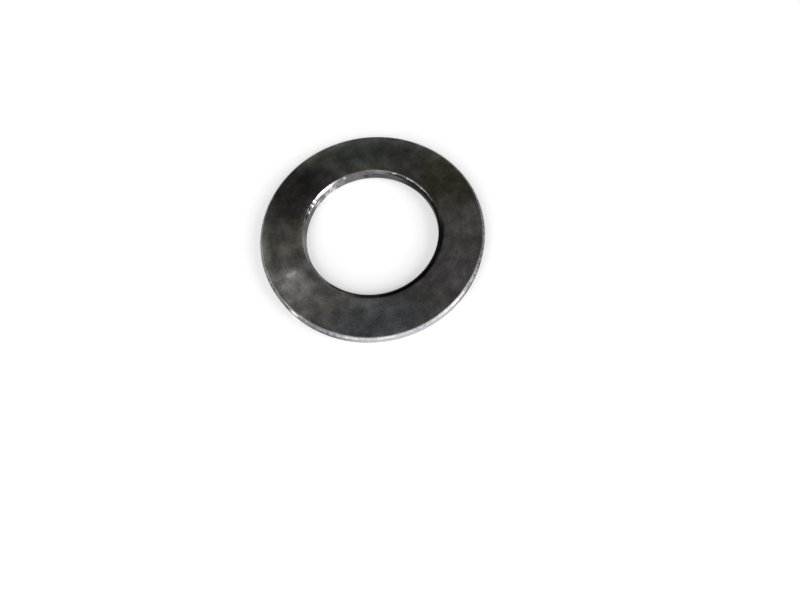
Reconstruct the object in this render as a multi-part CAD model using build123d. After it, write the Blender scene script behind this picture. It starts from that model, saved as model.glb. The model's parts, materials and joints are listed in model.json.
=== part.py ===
"""Thrust washer: a flat, hardened steel ring that carries axial load.

The washer is turned and ground from one piece of steel. A shaft passes through its
plain bore, and its two flat faces carry the load. All four edges are chamfered at
45 degrees, and tumbling has then rounded the creases on both sides of each chamfer.
Both sides of the washer are the same, so it can be fitted either way up.

Units are millimetres. The origin is the centre of the bore at the lower face, and +Z
runs along the bore, so the washer lies flat on the plane Z = 0.
"""
from build123d import *
import os

# Driving dimensions
bore_diameter = 25.0
outer_diameter = 42.0
thickness = 2.5
chamfer_leg = 0.5  # along the face and along the wall alike
crease_radius = 0.2  # left by tumbling where a chamfer meets a face or a wall

# Derived dimensions
bore_radius = bore_diameter / 2
outer_radius = outer_diameter / 2


def ring_section():
    """The section on one side of the axis, with radius along X and height along Y.

    It is a rectangle with its four corners cut at 45 degrees, which leaves eight
    creases, and each crease is rounded to the same radius.
    """
    lower_chamfer = chamfer_leg
    upper_chamfer = thickness - chamfer_leg
    inner_face_edge = bore_radius + chamfer_leg
    outer_face_edge = outer_radius - chamfer_leg
    outline = FilletPolyline(
        (inner_face_edge, 0),
        (outer_face_edge, 0),
        (outer_radius, lower_chamfer),
        (outer_radius, upper_chamfer),
        (outer_face_edge, thickness),
        (inner_face_edge, thickness),
        (bore_radius, upper_chamfer),
        (bore_radius, lower_chamfer),
        radius=crease_radius,
        close=True,
    )
    return make_face(outline)


def thrust_washer():
    """The ring section, stood upright and turned once about the axis of the bore."""
    return revolve(Plane.XZ * ring_section(), Axis.Z)


os.makedirs("parts", exist_ok=True)
washer = thrust_washer()
washer.label = "thrust_washer"
export_step(washer, "parts/thrust_washer.step")
print(f"thrust_washer: {washer.volume:.1f} mm3 of steel")
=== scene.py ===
# %% [markdown]
# # A thrust washer in dark ground steel
#
# A thrust washer is a flat ring that carries load along a shaft. This one is hardened
# steel, turned and ground from one piece. Its two faces are dark and smooth, its edges
# are chamfered, and the corners are partly rubbed bare and carry painted sheen and
# painted glints where they mirror the room. The lesson builds the ring as one surface
# worked out from its section, bruises its bore edge a little, and then spends most of
# its effort on the steel.

# %% Load the frame
import json
import math

import bpy
import numpy as np
from mathutils import Matrix, Vector


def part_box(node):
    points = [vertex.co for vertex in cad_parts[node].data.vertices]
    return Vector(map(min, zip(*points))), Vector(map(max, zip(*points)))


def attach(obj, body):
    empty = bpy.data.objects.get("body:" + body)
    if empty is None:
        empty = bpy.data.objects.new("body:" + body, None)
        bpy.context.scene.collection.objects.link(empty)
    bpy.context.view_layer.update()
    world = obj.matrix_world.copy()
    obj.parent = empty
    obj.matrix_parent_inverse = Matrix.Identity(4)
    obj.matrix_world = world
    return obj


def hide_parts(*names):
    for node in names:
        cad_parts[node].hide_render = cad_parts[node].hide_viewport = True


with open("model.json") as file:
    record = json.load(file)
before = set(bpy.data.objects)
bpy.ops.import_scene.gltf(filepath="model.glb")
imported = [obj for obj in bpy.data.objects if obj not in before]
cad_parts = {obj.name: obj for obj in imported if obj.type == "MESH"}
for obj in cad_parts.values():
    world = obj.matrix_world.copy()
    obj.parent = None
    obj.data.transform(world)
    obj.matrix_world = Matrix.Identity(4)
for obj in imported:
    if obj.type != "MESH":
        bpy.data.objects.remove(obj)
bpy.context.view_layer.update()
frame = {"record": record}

# %% [markdown]
# ## The sizes
#
# The CAD frame already knows how large the washer is, so nothing is typed twice: the
# box of the node gives the outside and the thickness, and the bore's mount gives the
# bore. Only the chamfer and the radius of its creases are written here, because a box
# can't show them. The frame's mesh has flat facets, so its box is a hair smaller than
# the true circle. Everything in this lesson is worked out in millimetres, and turned
# into metres at the moment it becomes a mesh.

# %% Read the sizes of the washer
MM = 0.001
low, high = (np.array(corner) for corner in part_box("thrust_washer"))
outer_radius = np.abs([*low[:2], *high[:2]]).min() / MM
thickness = (high[2] - low[2]) / MM
mounts = {mount["name"]: mount for mount in frame["record"]["mounts"]}
bore_radius = mounts["bore"]["dims"]["r_mm"]
chamfer = 0.5
crease = 0.2
print(f"washer: bore {2 * bore_radius:.2f}, outside {2 * outer_radius:.2f}, thick {thickness:.2f} mm")

# %% [markdown]
# ## The section
#
# Cut the ring on one side of its axis and you see a small rectangle with its corners
# taken off at 45 degrees. Each of the eight creases that this leaves is rounded. A
# bevel modifier could round them, but a section that is worked out point by point puts
# the points exactly where light bends: many on each crease, few on the flat runs.

# %% The corners of the section
def section_corners():
    """The eight corners before rounding, in order round the section, as radius and height."""
    inner, outer, top = bore_radius, outer_radius, thickness
    return np.array([
        (inner + chamfer, 0), (outer - chamfer, 0), (outer, chamfer), (outer, top - chamfer),
        (outer - chamfer, top), (inner + chamfer, top), (inner, top - chamfer), (inner, chamfer),
    ])


print("corners before rounding", len(section_corners()))

# %% Round the corners
crease_steps = 9
face_steps = 15
edge_steps = 5
long_run = 3
corner_turn = math.radians(45)


def rounded_section():
    """Each corner becomes an arc, and each run between arcs is divided evenly.

    Every corner turns by 45 degrees, so an arc of radius R starts R tan(22.5 degrees)
    before its corner, and its centre lies R to the left of that start. A point of the
    arc is the centre plus R times the outward direction, which turns evenly from one
    run's outward direction to the next one's. Only the runs of the two faces are longer
    than three millimetres.
    """
    corners = section_corners()
    following = np.roll(corners, -1, axis=0)
    runs = following - corners
    along = runs / np.linalg.norm(runs, axis=1, keepdims=True)
    before = np.roll(along, 1, axis=0)
    setback = crease * math.tan(corner_turn / 2)
    arc_start = corners - before * setback
    left = np.stack([-before[:, 1], before[:, 0]], axis=1)
    centre = arc_start + left * crease
    heading = np.arctan2(-left[:, 1], -left[:, 0])
    turn = np.linspace(0, corner_turn, crease_steps)
    angle = heading[:, None] + turn[None, :]
    arcs = centre[:, None, :] + crease * np.stack([np.cos(angle), np.sin(angle)], axis=2)
    pieces = []
    for arc, next_arc, run in zip(arcs, np.roll(arcs, -1, axis=0), runs):
        steps = face_steps if np.linalg.norm(run) > long_run else edge_steps
        between = np.linspace(0, 1, steps + 2)[1:-1, None]
        pieces.append(arc)
        pieces.append(arc[-1] + (next_arc[0] - arc[-1]) * between)
    return np.vstack(pieces)


section = rounded_section()
print("section points", len(section))

# %% [markdown]
# ## Bruises on the bore's edge
#
# A washer that has been pressed on a shaft carries small bruises on the rim of its
# bore. They are real hollows, so they belong in the mesh and not only in the material.
# Each one is a soft dent: deepest at its middle, fading like a bell curve along the
# edge and across it. A fixed seed scatters them, so that every run gives the same ring.

# %% Scatter the bruises
rng = np.random.default_rng(11)
bruise_count = 44
bruise_angle = np.radians(rng.normal(146, 6, bruise_count))
bruise_length = rng.uniform(0.16, 0.5, bruise_count)
bruise_width = rng.uniform(0.08, 0.2, bruise_count)
bruise_depth = rng.uniform(0.02, 0.08, bruise_count)
bruise_radius = bore_radius + chamfer + rng.normal(0, 0.1, bruise_count)
bruise_height = thickness - rng.uniform(0, 0.25, bruise_count)
print(f"{bruise_count} bruises, the deepest {bruise_depth.max():.3f} mm before any overlap")

# %% Measure how deep the dents go
def bruise_field(angle, points):
    """Depth of all dents at every angle and section point, in millimetres.

    Each dent is depth times exp(-(arc / length)^2) times exp(-(gap / width)^2), where
    arc is the distance round the bore and gap the distance within the section.
    """
    turn = (angle[None, :] - bruise_angle[:, None] + math.pi) % (2 * math.pi) - math.pi
    round_the_bore = np.exp(-(turn * bore_radius / bruise_length[:, None]) ** 2)
    gap_r = points[None, :, 0] - bruise_radius[:, None]
    gap_z = points[None, :, 1] - bruise_height[:, None]
    across = np.exp(-(gap_r ** 2 + gap_z ** 2) / bruise_width[:, None] ** 2)
    return np.einsum("n,na,np->ap", bruise_depth, round_the_bore, across)


deepest_dent = 0.1


def capped_depth(angle, points):
    """The bruise field, held to the deepest dent's depth where many dents overlap."""
    return np.minimum(bruise_field(angle, points), deepest_dent)


print(f"deepest place round the bore {capped_depth(bruise_angle, section).max():.3f} mm")

# %% [markdown]
# ## The ring
#
# Carry the section once round the axis and the washer is closed, with no seam: the
# last column of faces joins the first. The dents push each point straight into the
# metal, so the ring never grows past its CAD box.

# %% Turn the section into a ring
ring_steps = 720


def section_outward(points):
    """Unit directions out of the metal: the chord past each point, turned to the right."""
    chord = np.roll(points, -1, axis=0) - np.roll(points, 1, axis=0)
    chord = chord / np.linalg.norm(chord, axis=1, keepdims=True)
    return np.stack([chord[:, 1], -chord[:, 0]], axis=1)


def ring_points():
    """The section, dented, at every angle: (r cos a, r sin a, z)."""
    angle = np.linspace(0, 2 * math.pi, ring_steps, endpoint=False)
    depth = capped_depth(angle, section)
    dented = section[None, :, :] - depth[:, :, None] * section_outward(section)[None, :, :]
    radius = dented[:, :, 0]
    x = radius * np.cos(angle)[:, None]
    y = radius * np.sin(angle)[:, None]
    return np.stack([x, y, dented[:, :, 1]], axis=2).reshape(-1, 3)


print("points of the ring", len(ring_points()))

# %% Join the points with faces
def ring_faces():
    """Four-sided faces between neighbours on the grid, closed both ways round."""
    count = len(section)
    step, place = np.meshgrid(np.arange(ring_steps), np.arange(count), indexing="ij")
    next_step = (step + 1) % ring_steps
    next_place = (place + 1) % count
    corners = [step * count + place, next_step * count + place]
    corners += [next_step * count + next_place, step * count + next_place]
    return np.stack(corners, axis=2).reshape(-1, 4)


print("faces of the ring", len(ring_faces()))

# %% Make the mesh
def make_mesh(name, points, faces):
    """A smooth mesh object at the origin, from points in millimetres."""
    mesh = bpy.data.meshes.new(name)
    mesh.from_pydata((points * MM).tolist(), [], faces.tolist())
    mesh.update()
    mesh.shade_smooth()
    piece = bpy.data.objects.new(name, mesh)
    bpy.context.collection.objects.link(piece)
    return piece


ring = make_mesh("washer_ring", ring_points(), ring_faces())
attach(ring, "root")
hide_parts("thrust_washer")
print("ring triangles", 2 * len(ring.data.polygons))

# %% [markdown]
# ## Which way the faces point
#
# Light and export both trust the order of a face's corners, so a ring that is turned
# inside out would shade wrongly. The section is a small loop round a core circle, so
# every face has to look away from the nearest point of that circle. One number tells.

# %% Check which way the faces point
normals = np.zeros(len(ring.data.polygons) * 3)
centres = np.zeros(len(ring.data.polygons) * 3)
ring.data.polygons.foreach_get("normal", normals)
ring.data.polygons.foreach_get("center", centres)
middle = (bore_radius + outer_radius) / 2 * MM
centres = centres.reshape(-1, 3)
flat = centres * [1, 1, 0]
core = flat / np.linalg.norm(flat, axis=1, keepdims=True) * middle + [0, 0, thickness / 2 * MM]
outward = np.einsum("ij,ij->i", normals.reshape(-1, 3), centres - core)
print(f"share of faces that point outward: {(outward > 0).mean():.3f}")

# %% [markdown]
# ## Shader sums as Python
#
# A material is a sum: where am I, how far from the edge, how rubbed is this spot. One
# small class wraps an output socket, so such a sum can be written with plain operators,
# and each operator adds its Math node. Every other kind of node comes from one method.

# %% A socket that can do sums
class Signal:
    """One output socket, with operators that add Math nodes."""

    def __init__(self, tree, socket):
        self.tree = tree
        self.socket = socket

    @classmethod
    def node(cls, tree, kind, settings=None, inputs=None, output=0):
        """Add a node of one kind, set it up, then fill its sockets with values or links."""
        made = tree.nodes.new(kind)
        for name, value in (settings or {}).items():
            setattr(made, name, value)
        for key, value in (inputs or {}).items():
            if isinstance(value, Signal):
                tree.links.new(value.socket, made.inputs[key])
            else:
                made.inputs[key].default_value = value
        return cls(tree, made.outputs[output]) if made.outputs else None

    def math(self, operation, first, second=0.0):
        """One Math node; either input may be a signal or a plain number."""
        settings = {"operation": operation}
        return Signal.node(self.tree, "ShaderNodeMath", settings, {0: first, 1: second})

    def __add__(self, other):
        return self.math("ADD", self, other)

    def __radd__(self, other):
        return self.math("ADD", other, self)

    def __sub__(self, other):
        return self.math("SUBTRACT", self, other)

    def __rsub__(self, other):
        return self.math("SUBTRACT", other, self)

    def __mul__(self, other):
        return self.math("MULTIPLY", self, other)

    def __rmul__(self, other):
        return self.math("MULTIPLY", other, self)

    def __truediv__(self, other):
        return self.math("DIVIDE", self, other)

    def __rtruediv__(self, other):
        return self.math("DIVIDE", other, self)

    def __pow__(self, other):
        return self.math("POWER", self, other)

    def __rpow__(self, other):
        return self.math("POWER", other, self)

    def __abs__(self):
        return self.math("ABSOLUTE", self)

    def least(self, other):
        """The smaller of the two."""
        return self.math("MINIMUM", self, other)

    def most(self, other):
        """The larger of the two."""
        return self.math("MAXIMUM", self, other)

    def step(self, start, end, low=0.0, high=1.0):
        """Rises smoothly from low to high as this signal goes from start to end."""
        settings = {"interpolation_type": "SMOOTHSTEP"}
        sockets = {0: self, 1: start, 2: end, 3: low, 4: high}
        return Signal.node(self.tree, "ShaderNodeMapRange", settings, sockets)


sums = [name.strip("_") for name, item in vars(Signal).items() if callable(item)]
print("a signal can do:", ", ".join(sums[1:]))

# %% [markdown]
# ## Where on the washer
#
# The steel differs by place: the faces are dark and lapped, the chamfers partly rubbed
# bare and carrying painted sheen and glints, the walls left from the lathe. Object
# coordinates give the place, and the radius and height turn it into distances that mean
# something on a ring: how far from the nearer wall, and how far from the axis. The
# heading says which side of the ring we are on.

# %% Find the place on the washer
def new_material(name):
    """An empty node material, and its tree."""
    material = bpy.data.materials.new(name)
    material.use_nodes = True
    material.node_tree.nodes.clear()
    return material, material.node_tree


steel, steel_tree = new_material("steel")
object_place = Signal.node(steel_tree, "ShaderNodeTexCoord", output=3)
in_mm = {"operation": "SCALE"}
place = Signal.node(steel_tree, "ShaderNodeVectorMath", in_mm, {0: object_place, 3: 1 / MM})
x = Signal.node(steel_tree, "ShaderNodeSeparateXYZ", None, {0: place}, output=0)
y = Signal.node(steel_tree, "ShaderNodeSeparateXYZ", None, {0: place}, output=1)
height = Signal.node(steel_tree, "ShaderNodeSeparateXYZ", None, {0: place}, output=2)
radius = (x * x + y * y) ** 0.5
heading_x = x / radius
heading_y = y / radius
print("place on the washer:", len(steel_tree.nodes), "nodes")

# %% Measure the distance from the walls
from_bore = radius - bore_radius
from_rim = outer_radius - radius
from_wall = from_bore.least(from_rim)
at_bore = radius.step(bore_radius + 1.6, bore_radius + 1.4)
print(f"the two walls are {outer_radius - bore_radius:.1f} mm apart")

# %% [markdown]
# ## The lapped faces
#
# Lapping leaves a fine, dull, nearly black sheen with a grain, and faint marks that run
# round the ring. Oil, handling and storage cloud it in broad soft patches. The marks are
# noise that is stretched round the ring: quick along the radius, slow along the
# circumference. The clouds, the mottle and the grain are the same noise, from slow to
# quick. Noise goes on for ever, so a shift of the place picks another part of it.

# %% Clouds, marks and grain
def join(x, y, z):
    """Three signals as one vector."""
    return Signal.node(x.tree, "ShaderNodeCombineXYZ", None, {0: x, 1: y, 2: z})


def noise(place, scale, detail=3.0, rough=0.55):
    """Soft cloud noise at a place; scale is about how many clouds there are in one unit."""
    inputs = {"Vector": place, "Scale": scale, "Detail": detail, "Roughness": rough}
    return Signal.node(place.tree, "ShaderNodeTexNoise", None, inputs)


def shifted(offset):
    """The place, moved by an offset in millimetres, where the noise draws other clouds."""
    settings = {"operation": "ADD"}
    return Signal.node(steel_tree, "ShaderNodeVectorMath", settings, {0: place, 1: offset})


cloud_scale, mottle_scale, grain_scale = 0.16, 0.42, 4.2
turned = join(radius * 6.0, heading_x * 5.0, heading_y * 5.0)
fine_marks = noise(turned, 1.0, 4.0, 0.6)
broad_turned = join(radius * 1.3, heading_x * 3.0, heading_y * 3.0)
broad_marks = noise(broad_turned, 1.0, 3.0, 0.6)
clouds = noise(shifted((14.3, -19.0, -7.1)), cloud_scale, 3.0, 0.6)
mottle = noise(shifted((-3.0, 18.6, 10.2)), mottle_scale, 2.5, 0.5)
grain = noise(place, grain_scale, 2.0, 0.6)
print(f"clouds about {1 / cloud_scale:.0f} mm across, mottle {1 / mottle_scale:.1f} mm", end=", ")
print(f"grain {1 / grain_scale:.2f} mm")

# %% [markdown]
# ## Dull and worn places
#
# Chance alone would spread the clouds evenly. The faces also carry painted shade and
# painted light: darker and lighter patches and paler borders where the room is mirrored,
# and a dark band beside the near side of the bore. Two helpers place such marks. A patch
# is a soft spot, and a side is a stretch of the ring round one heading. A border is a
# side that only counts near a wall.
#
# All of it is added up in stops, where one stop more is twice as bright, so that a dark
# place and a bright one are equally strong and none goes below zero.

# %% Helpers for a patch and a side
def patch(centre, size):
    """A soft spot: 1 where the distance from the centre is 0, and 0 where it is the size.

    The distance is the root of ((x - centre x) / size x)^2 + ((y - centre y) / size y)^2.
    """
    reach_x = (x - centre[0]) / size[0]
    reach_y = (y - centre[1]) / size[1]
    return ((reach_x * reach_x + reach_y * reach_y) ** 0.5).step(1.0, 0.0)


def side(degrees, start, end):
    """1 round this heading and 0 on the other side; start and end are cosines from it."""
    toward = heading_x * math.cos(math.radians(degrees))
    toward = toward + heading_y * math.sin(math.radians(degrees))
    return toward.step(start, end)


fade_start, fade_end = (math.degrees(math.acos(cosine)) for cosine in (0.7, 0.95))
print(f"a side from cosine 0.7 to 0.95 fades from {fade_start:.0f} to {fade_end:.0f} degrees off")

# %% Painted shade and light on the faces
# Painted shade and painted light: darker and lighter patches where the faces mirror the room, and
# paler borders at the rim and the bore where the rounded edges catch light.
painted_shade_left = patch((-12.5, 11.4), (10.5, 9.5))
painted_shade_right = patch((14.0, 9.6), (10.0, 9.0))
painted_shade_near = patch((13.5, -10.5), (14.0, 10.5))
painted_shade_front = patch((2.5, -17.0), (8.0, 5.5))
painted_light_sill = patch((-3.0, -13.8), (3.6, 1.8))
painted_light_left = patch((-14.9, -1.3), (3.4, 3.2))
painted_sheen_far_rim = from_rim.step(2.8, 0.8) * side(82, 0.45, 0.85)
painted_sheen_left_rim = from_rim.step(2.4, 0.6) * side(181, 0.93, 0.99)
painted_sheen_bore_lip = from_bore.step(1.6, 0.5) * side(197, 0.6, 0.95)
# Painted shade: a black band standing in for the dark reflection beside the near side of the bore;
# the print calls it black scale.
painted_dark_reach = 1.25
painted_dark_lip = from_bore.step(painted_dark_reach, 0.5) * side(314, 0.62, 0.88)
painted_dark_line = from_bore.step(1.05, 0.6) * side(285, 0.77, 0.9)
print("black scale creeps", painted_dark_reach, "mm in from the bore at its widest")

# %% Add up the stops
stops = (clouds - 0.5) * 2.8 + (mottle - 0.5) * 2.2 + (broad_marks - 0.5) * 0.7
stops = stops + (fine_marks - 0.5) * 1.0 + (grain - 0.5) * 1.5 - 0.17
stops = stops - painted_shade_left * 1.15 - painted_shade_right * 0.9 - painted_shade_near * 0.4 - painted_shade_front * 0.4
stops = stops + painted_light_sill * 1.0 + painted_light_left * 0.8 + painted_sheen_far_rim * 0.75
stops = stops + painted_sheen_left_rim * 0.9 + painted_sheen_bore_lip * 0.7
stops = stops - painted_dark_lip * 3.6 - painted_dark_line * 2.6
print("the faces so far:", len(steel_tree.nodes), "nodes")

# %% [markdown]
# ## A painted highlight on the face
#
# One stretch of the upper face carries a painted highlight, where the steel mirrors a
# light: a broad soft glow that ends at a faint ledge, and two small bright flecks in it.
# Object coordinates would put the same spot on the lower face too, right under this one,
# so a mask on the height keeps it to the upper face. The level is held at a brightest
# value, so that no colour of the steel passes 1.

# %% A painted highlight on the upper face
# Painted highlight: a glow, a wider glow and two bright flecks raise the colour of the upper face;
# the flecks are also a little smoother.
upper = height.step(0.4 * thickness, 0.6 * thickness)
ledge = y.step(-3.3, -5.3) * (x * 0.67 + y * 0.74).step(-12.9, -14.3)
painted_glow = patch((-15.6, -7.4), (11.0, 6.2)) * ledge
painted_glow_wide = patch((-15.5, -9.0), (9.5, 10.0))
highlight_streaks = noise(join(x * 1.3 + y * 0.5, y * 2.6 - x * 0.4, height), 1.0, 3.0, 0.6).step(0.25, 0.72)
fleck, second_fleck = (-16.1, -6.0), (-15.1, -5.75)
painted_highlight_core = patch(fleck, (0.66, 0.66)) + patch(second_fleck, (0.7, 0.55))
painted_highlight_core = painted_highlight_core * (0.85 + highlight_streaks * 0.3) + patch((-15.3, -6.3), (2.8, 1.6)) * 0.25
painted_highlight = (painted_glow * 1.2 + painted_glow_wide * 0.35 + painted_highlight_core * 1.7) * upper
brightest = 5.4
face_level = (2.0 ** (stops + painted_highlight)).least(brightest)
print(f"the flecks lie {math.hypot(*fleck):.1f} and {math.hypot(*second_fleck):.1f} mm from the axis")

# %% [markdown]
# ## Tints in the oil
#
# Steel that is kept in oil is never a pure grey: where the film is a little thicker it
# turns olive, brown or blue. The tints are weak, so each is a multiplier near 1 on the
# steel's own grey, and a Mix node fades one into the next over a patch. Colours go
# through Mix nodes, because a Math node would turn them grey.

# %% Tints in the oil film
face_base = 0.17


def film(red, green, blue):
    """Face steel seen through a thin film of oil of this tint."""
    return (face_base * red, face_base * green, face_base * blue, 1.0)


def blend_colour(factor, first, second, kind="MIX"):
    """Goes from the first colour to the second as the factor goes from 0 to 1."""
    settings = {"data_type": "RGBA", "blend_type": kind, "clamp_factor": True}
    inputs = {0: factor, 6: first, 7: second}
    tree = next(item.tree for item in (factor, first, second) if isinstance(item, Signal))
    return Signal.node(tree, "ShaderNodeMix", settings, inputs, output=2)


tint = blend_colour(patch((1, 18), (16, 8)) * 0.9, film(1.02, 1.0, 0.92), film(0.95, 1.05, 0.86))
tint = blend_colour(patch((15, 8), (10, 10)), tint, film(1.02, 1.0, 0.66))
tint = blend_colour(patch((-16, 2), (9, 12)) * 0.9, tint, film(1.07, 1.0, 0.84))
tint = blend_colour(patch((13, -11), (7, 6)) * 0.8, tint, film(1.06, 0.95, 1.06))
tint = blend_colour(patch((-1, -18), (15, 7)), tint, film(0.93, 1.01, 1.09))
level_colour = join(face_level, face_level, face_level)
face_colour = blend_colour(1.0, tint, level_colour, "MULTIPLY")
face_rough = 0.34 + (mottle - 0.5) * 0.1 + (grain - 0.5) * 0.12 - painted_highlight_core * upper * 0.06
print("plain face colour", [round(channel, 3) for channel in film(1.02, 1.0, 0.92)])

# %% [markdown]
# ## Where the edges begin
#
# The corners stand proud, so everything rubs them. The dark skin of the face ends at
# the crease of each chamfer, in a line that wanders a little, and the wall begins where
# the chamfer's other crease is. Both are read from the distance to the nearer wall. In
# the bruised stretch of the bore, which also carries a painted glint, the skin is worn
# back a little further to widen that glint, except at its blunt upper end.

# %% Masks for the chamfers and walls
skin_starts, skin_whole = 0.34, 0.52
rim_creep = 0.07
bruise_and_glint_middle = (-8.0, 10.5)
chatter_marks = 40.0
wander = (noise(place, 2.2, 3.0, 0.6) - 0.5) * 0.16 + (1 - at_bore) * rim_creep
bruise_and_glint = (patch(bruise_and_glint_middle, (5.4, 5.4)) * 1.5).least(1.0) * at_bore
blunt_end = side(114, 0.945, 0.99) * bruise_and_glint
on_face = (from_wall + wander - (bruise_and_glint - blunt_end) * 0.1).step(skin_starts, skin_whole)
on_wall = from_wall.step(0.09, 0.02)
edge_cloud = noise(place, 0.9, 3.0, 0.6)
chatter_place = join(radius * 0.5, heading_x * chatter_marks, heading_y * chatter_marks)
chatter = noise(chatter_place, 1.0, 2.0, 0.5)
skin_ends = (skin_starts + skin_whole) / 2
print(f"the dark skin ends {skin_ends:.2f} mm from the bore", end=" ")
print(f"and {skin_ends - rim_creep:.2f} from the rim")
print(f"the lathe's chatter repeats about every {outer_radius / chatter_marks:.2f} mm of the rim")

# %% [markdown]
# ## The outer edge
#
# The chamfer outside and the wall below it are painted brighter on the near side, a
# painted sheen where they mirror the bright room in front, with a painted highlight at
# the front and a painted glint on the lower left. Elsewhere both keep some of their dark
# skin, broken by soft clouds and by short marks across the chamfer, which the lathe's
# chatter left. Small scuffs show most on the brighter near side.

# %% The outer edge
rim_skin, rim_sheen_painted = 0.17, 0.36
# Painted sheen: the near side of the rim is brighter where it mirrors the room, and rim_glint and the
# front patch are painted highlights; the print calls the sheen wear.
painted_sheen_near_rim = side(280, 0.76, 0.96)
rim_glint = patch((-15.9, -13.3), (1.5, 1.5)) * (1 - at_bore)
painted_highlight_rim_front = patch((0.0, -20.7), (4.5, 3.0))
rim_chamfer = rim_skin + painted_sheen_near_rim * rim_sheen_painted + painted_highlight_rim_front * 0.22 + rim_glint * 0.7
scuffs = (noise(place, 2.6, 2.0, 0.6) - 0.5) * (0.3 + painted_sheen_near_rim * 0.7)
rim_chamfer = rim_chamfer + (edge_cloud - 0.5) * 0.34 + (chatter - 0.5) * 0.42 + scuffs * 0.7
rim_wall = 0.15 + painted_sheen_near_rim * 0.42 + (edge_cloud - 0.5) * 0.2
rim_wall = rim_wall + (chatter - 0.5) * 0.12 + scuffs * 0.5
print(f"outer chamfer: {rim_skin + rim_sheen_painted:.2f} where it wore, {rim_skin:.2f} elsewhere")

# %% [markdown]
# ## The edge of the bore
#
# The bore was left as turned. Its edge is painted by side: a painted sheen on the far
# and left sides, where it mirrors the lit room, and a painted dark reflection, nearly
# black, on the near and right sides. A painted highlight runs as a thin bright line
# along part of the crease. The bruised stretch is bare metal under a painted glint,
# with painted shade as a dark line at its foot, and it ends in a few separate chips
# that are painted glints too.

# %% Painted sheen and painted dark reflection in the bore
# Painted light: the dark level is a painted dark reflection on the near and right sides, and the
# level printed as polished is a painted sheen on the far side.
painted_dark_level, bore_sheen_painted = 0.007, 0.24
painted_sheen_far = side(125, 0.4, 0.95)
painted_sheen_left = side(197, 0.84, 0.97)
blobs = noise(place, 1.9, 1.0, 0.5).step(0.5, 0.56)
# Painted highlight: a thin, broken bright line on the far crease of the bore, where it mirrors the
# left softbox.
crease_line = 1 - (abs(from_wall - 0.37) / 0.15).least(1.0)
painted_highlight_far_crease = side(42, 0.84, 0.95) * (0.04 + blobs * 0.27) + side(31, 0.975, 0.998) * 0.11
bore_chamfer = painted_dark_level + painted_sheen_far * bore_sheen_painted + painted_sheen_left * 0.22
bore_chamfer = bore_chamfer + (edge_cloud - 0.5) * 0.14 * painted_sheen_far
bore_chamfer = bore_chamfer + crease_line * painted_highlight_far_crease
print(f"bore chamfer: {painted_dark_level + bore_sheen_painted:.3f} where polished, {painted_dark_level:.3f} where black")

# %% Bare metal and a painted glint where the bore is bruised
# Painted highlight over bare metal: the bruised stretch, the nick and the chips are brightened to
# carry the right softbox's glint; dark gaps break it, and the foot's dark line is painted shade.
near_crease = (from_wall + blunt_end * 0.14).step(0.24, 0.38)
painted_shade_foot = from_wall.step(0.26, 0.14) * (bruise_and_glint - blunt_end)
painted_glint_nick = patch((-3.4, 12.3), (0.45, 0.4))
chip_glints = patch((-11.24, 6.28), (0.4, 0.4)) + patch((-10.38, 7.57), (0.5, 0.45))
chip_glints = chip_glints + patch((-9.81, 8.33), (0.5, 0.45))
flecks = noise(place, 3.4, 2.0, 0.5).step(0.5, 0.58)
painted_dark_gaps = side(147.5, 0.98, 0.988)
bare_and_glint = bruise_and_glint * near_crease * (0.3 + side(117, 0.93, 0.99) * 0.32)
bore_chamfer = (bore_chamfer + bare_and_glint) * (1 - flecks * side(147, 0.97, 0.99) * 0.5)
bore_chamfer = bore_chamfer * (1 - painted_dark_gaps * 0.72) * (1 - painted_shade_foot * 0.65)
bore_chamfer = bore_chamfer + painted_glint_nick * 0.6 + chip_glints * 0.85
bare_and_glint_heading = math.degrees(math.atan2(bruise_and_glint_middle[1], bruise_and_glint_middle[0]))
print(f"bare metal {bare_and_glint_heading:.0f} degrees round from the X axis")

# %% The wall of the bore
# Painted sheen and painted shade: the bore's wall is lighter on the far and left sides and darker
# near heading 76 degrees, by how it mirrors the room; its top in the bruised stretch gets painted
# shade.
painted_sheen_wall = side(112, 0.3, 0.75)
sparkle = edge_cloud.step(0.42, 0.6)
pit = patch((0.85, 12.5), (0.6, 0.6)) * (1 - (abs(height - 1.35) / 0.4).least(1.0))
painted_shade_wall = side(76, 0.95, 0.995)
shine = 0.15 + (edge_cloud - 0.5) * 0.16 - painted_shade_wall * 0.055
bore_wall = 0.01 + painted_sheen_wall * shine + painted_sheen_left * 0.2
shaded_top = height.step(1.45, 1.85) * (bruise_and_glint - blunt_end)
bore_wall = (bore_wall + bruise_and_glint * (0.1 + sparkle * 0.4)) * (1 - pit) * (1 - shaded_top * 0.75)
print("the edges too:", len(steel_tree.nodes), "nodes")

# %% [markdown]
# ## One steel
#
# The masks now pick from the parts: bore or rim, chamfer or wall, edge or face. The
# result is one metal that feeds one shader. A Bump node carries the marks that are too
# shallow for the mesh, and Specular Tint holds down the pale sheen that any metal gets
# at a glancing angle, because the skin on this one is dull.

# %% Join the edges
chamfer_level = rim_chamfer + (bore_chamfer - rim_chamfer) * at_bore
wall_level = rim_wall + (bore_wall - rim_wall) * at_bore
edge_level = (chamfer_level + (wall_level - chamfer_level) * on_wall).most(0.005).least(0.95)
straw = crease_line * side(42, 0.8, 0.95) * at_bore
cool = 0.025
edge_blue = edge_level * (1 + cool - straw * 0.09)
edge_colour = join(edge_level, edge_level * (1 - cool), edge_blue)
rim_rough, bore_smoother = 0.29, 0.1
edge_rough = rim_rough - at_bore * bore_smoother + on_wall * 0.1
edge_rough = edge_rough + (edge_cloud - 0.5) * 0.16 - bruise_and_glint * 0.04
print(f"edge roughness about {rim_rough:.2f} outside and {rim_rough - bore_smoother:.2f} in the bore")

# %% Put the steel together
def grey(level):
    """A neutral colour."""
    return (level, level, level, 1.0)


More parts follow.
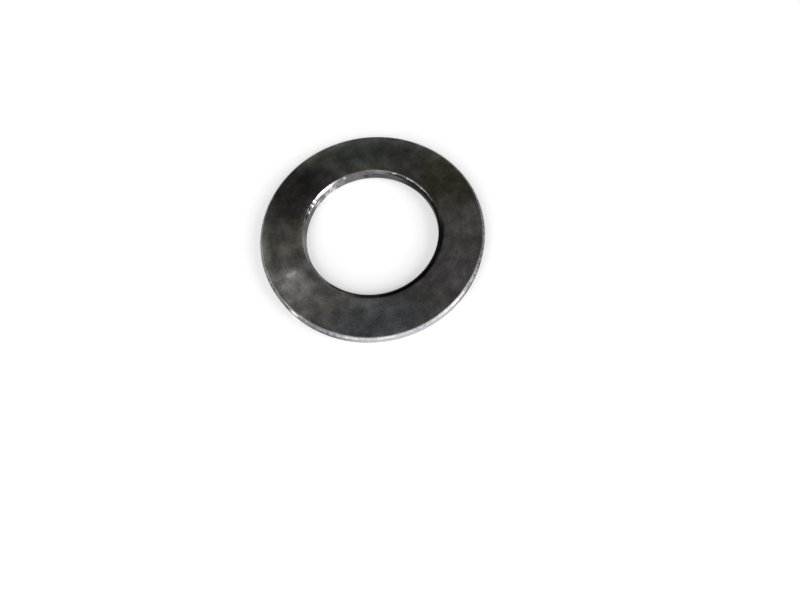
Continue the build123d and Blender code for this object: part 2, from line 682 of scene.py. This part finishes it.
steel_colour = blend_colour(on_face, edge_colour, face_colour)
steel_rough = edge_rough + (face_rough - edge_rough) * on_face
relief = fine_marks * 0.5 + mottle * 0.25 + chatter * (1 - on_face) * 0.6
deepest_mark = 0.02 * MM
bump_sockets = {"Strength": 0.35, "Distance": deepest_mark, "Height": relief}
bump = Signal.node(steel_tree, "ShaderNodeBump", None, bump_sockets)
shader_sockets = {"Base Color": steel_colour, "Metallic": 1.0, "Roughness": steel_rough}
shader_sockets["Specular Tint"] = grey(0.6)
shader_sockets["Normal"] = bump
shader = Signal.node(steel_tree, "ShaderNodeBsdfPrincipled", None, shader_sockets)
Signal.node(steel_tree, "ShaderNodeOutputMaterial", None, {0: shader})
ring.data.materials.append(steel)
print("steel:", len(steel_tree.nodes), "nodes and", len(steel_tree.links), "links")

# %% [markdown]
# ## The floor
#
# The washer lies on a plain white table. A table that is only lit never turns quite
# white beside the soft shadow, and more light would burn out the steel. Instead, the
# rays that look at the table, straight or in a reflection, see a little glow added to
# it, while the light that the table throws on the washer stays as it is. The shadow
# stays too, because the glow is added to the lit colour and doesn't hide it. Far from
# the lamps the table is darker, so the glow grows there and no grey horizon shows.

# %% Lay the floor
floor_half = 4000.0
floor_corners = np.array([(-1, -1, 0), (1, -1, 0), (1, 1, 0), (-1, 1, 0)]) * floor_half
floor = make_mesh("floor", floor_corners, np.array([(0, 1, 2, 3)]))
print(f"floor: {2 * floor_half * MM:.0f} m square")

# %% Paint the table
table_white = 0.82
table, table_tree = new_material("table")
paint = Signal.node(table_tree, "ShaderNodeBsdfDiffuse", None, {"Color": grey(table_white)})
table_place = Signal.node(table_tree, "ShaderNodeTexCoord", output=3)
how_far = {"operation": "LENGTH"}
distance = Signal.node(table_tree, "ShaderNodeVectorMath", how_far, {0: table_place}, output=1)
near_glow, far_glow = 0.3, 0.72
glow_level = distance.step(0.4, 1.8, near_glow, far_glow)
glow_colour = join(glow_level, glow_level, glow_level)
glow = Signal.node(table_tree, "ShaderNodeEmission", None, {"Color": glow_colour, "Strength": 1.0})
lifted = Signal.node(table_tree, "ShaderNodeAddShader", None, {0: paint, 1: glow})
seen = Signal.node(table_tree, "ShaderNodeLightPath", output="Is Camera Ray")
mirrored = Signal.node(table_tree, "ShaderNodeLightPath", output="Is Glossy Ray")
passed = Signal.node(table_tree, "ShaderNodeLightPath", output="Is Transmission Ray")
looked_at = seen.most(mirrored).most(passed)
surface = Signal.node(table_tree, "ShaderNodeMixShader", None, {0: looked_at, 1: paint, 2: lifted})
Signal.node(table_tree, "ShaderNodeOutputMaterial", None, {0: surface})
floor.data.materials.append(table)
print(f"the table's glow: {near_glow} near the washer and {far_glow} far away")

# %% [markdown]
# ## The studio
#
# Polished steel is mostly what it mirrors, so the room matters more than the lamp. It
# is bright low in front, where the rim's chamfer looks, and dim overhead, where the
# faces look. A softbox on the right picks out the bruised edge of the bore, and one on
# the left softens the shadow and draws the thin line on the far crease.

# %% Light the room
room = bpy.data.worlds.new("room")
bpy.context.scene.world = room
room.use_nodes = True
room_tree = room.node_tree
room_tree.nodes.clear()
direction = Signal.node(room_tree, "ShaderNodeTexCoord", output=0)
ahead = Signal.node(room_tree, "ShaderNodeSeparateXYZ", None, {0: direction}, output=1)
up = Signal.node(room_tree, "ShaderNodeSeparateXYZ", None, {0: direction}, output=2)
window = ahead.step(0.0, -0.5) * up.step(0.85, 0.3)
overhead = up.step(0.72, 0.95)
skirting = up.step(0.55, 0.0)
dim, window_light, overhead_light, low_light = 0.06, 1.1, 0.26, 0.9
room_level = dim + window * window_light + overhead * overhead_light
room_level = room_level + skirting * low_light * (1 - window)
walls = Signal.node(room_tree, "ShaderNodeBackground", None, {0: grey(1.0), 1: room_level})
Signal.node(room_tree, "ShaderNodeOutputWorld", None, {0: walls})
print(f"room: {dim + window_light:.2f} low in front, {dim + overhead_light:.2f} overhead")

# %% Two softboxes
def softbox(name, place, size, watts):
    """A square lamp that faces the washer."""
    lamp = bpy.data.lights.new(name, "AREA")
    lamp.shape = "SQUARE"
    lamp.size = size
    lamp.energy = watts
    stand = bpy.data.objects.new(name, lamp)
    stand.location = place
    stand.rotation_euler = (-Vector(place)).to_track_quat("-Z", "Y").to_euler()
    bpy.context.collection.objects.link(stand)
    return stand


softbox("key_softbox", (0.8, -0.35, 0.5), 0.7, 6.6)
softbox("fill_softbox", (-0.62, -0.42, 0.68), 1.15, 7.2)
print("softboxes:", [(lamp.name, round(lamp.energy, 1)) for lamp in bpy.data.lights])

# %% [markdown]
# ## The camera
#
# The camera looks down at the washer from close in front, tilted about 20 degrees from
# straight down and turned a little about its own line of sight. A short lens this near
# makes the front of the ring larger than the back.

# %% Set up the camera
stand = (0.00299, -0.04624, 0.09106)
lens = bpy.data.cameras.new("camera")
lens.lens = 24
lens.sensor_width = 36
lens.clip_start = 0.005
camera = bpy.data.objects.new("camera", lens)
bpy.context.collection.objects.link(camera)
lean = Matrix.Rotation(math.radians(19.71), 4, "X")
roll = Matrix.Rotation(math.radians(-10.23), 4, "Z")
camera.matrix_world = Matrix.Translation(stand) @ lean @ roll
bpy.context.scene.camera = camera
bpy.context.scene.view_settings.view_transform = "Standard"
print(f"camera {Vector(stand).length / MM:.0f} mm from the washer")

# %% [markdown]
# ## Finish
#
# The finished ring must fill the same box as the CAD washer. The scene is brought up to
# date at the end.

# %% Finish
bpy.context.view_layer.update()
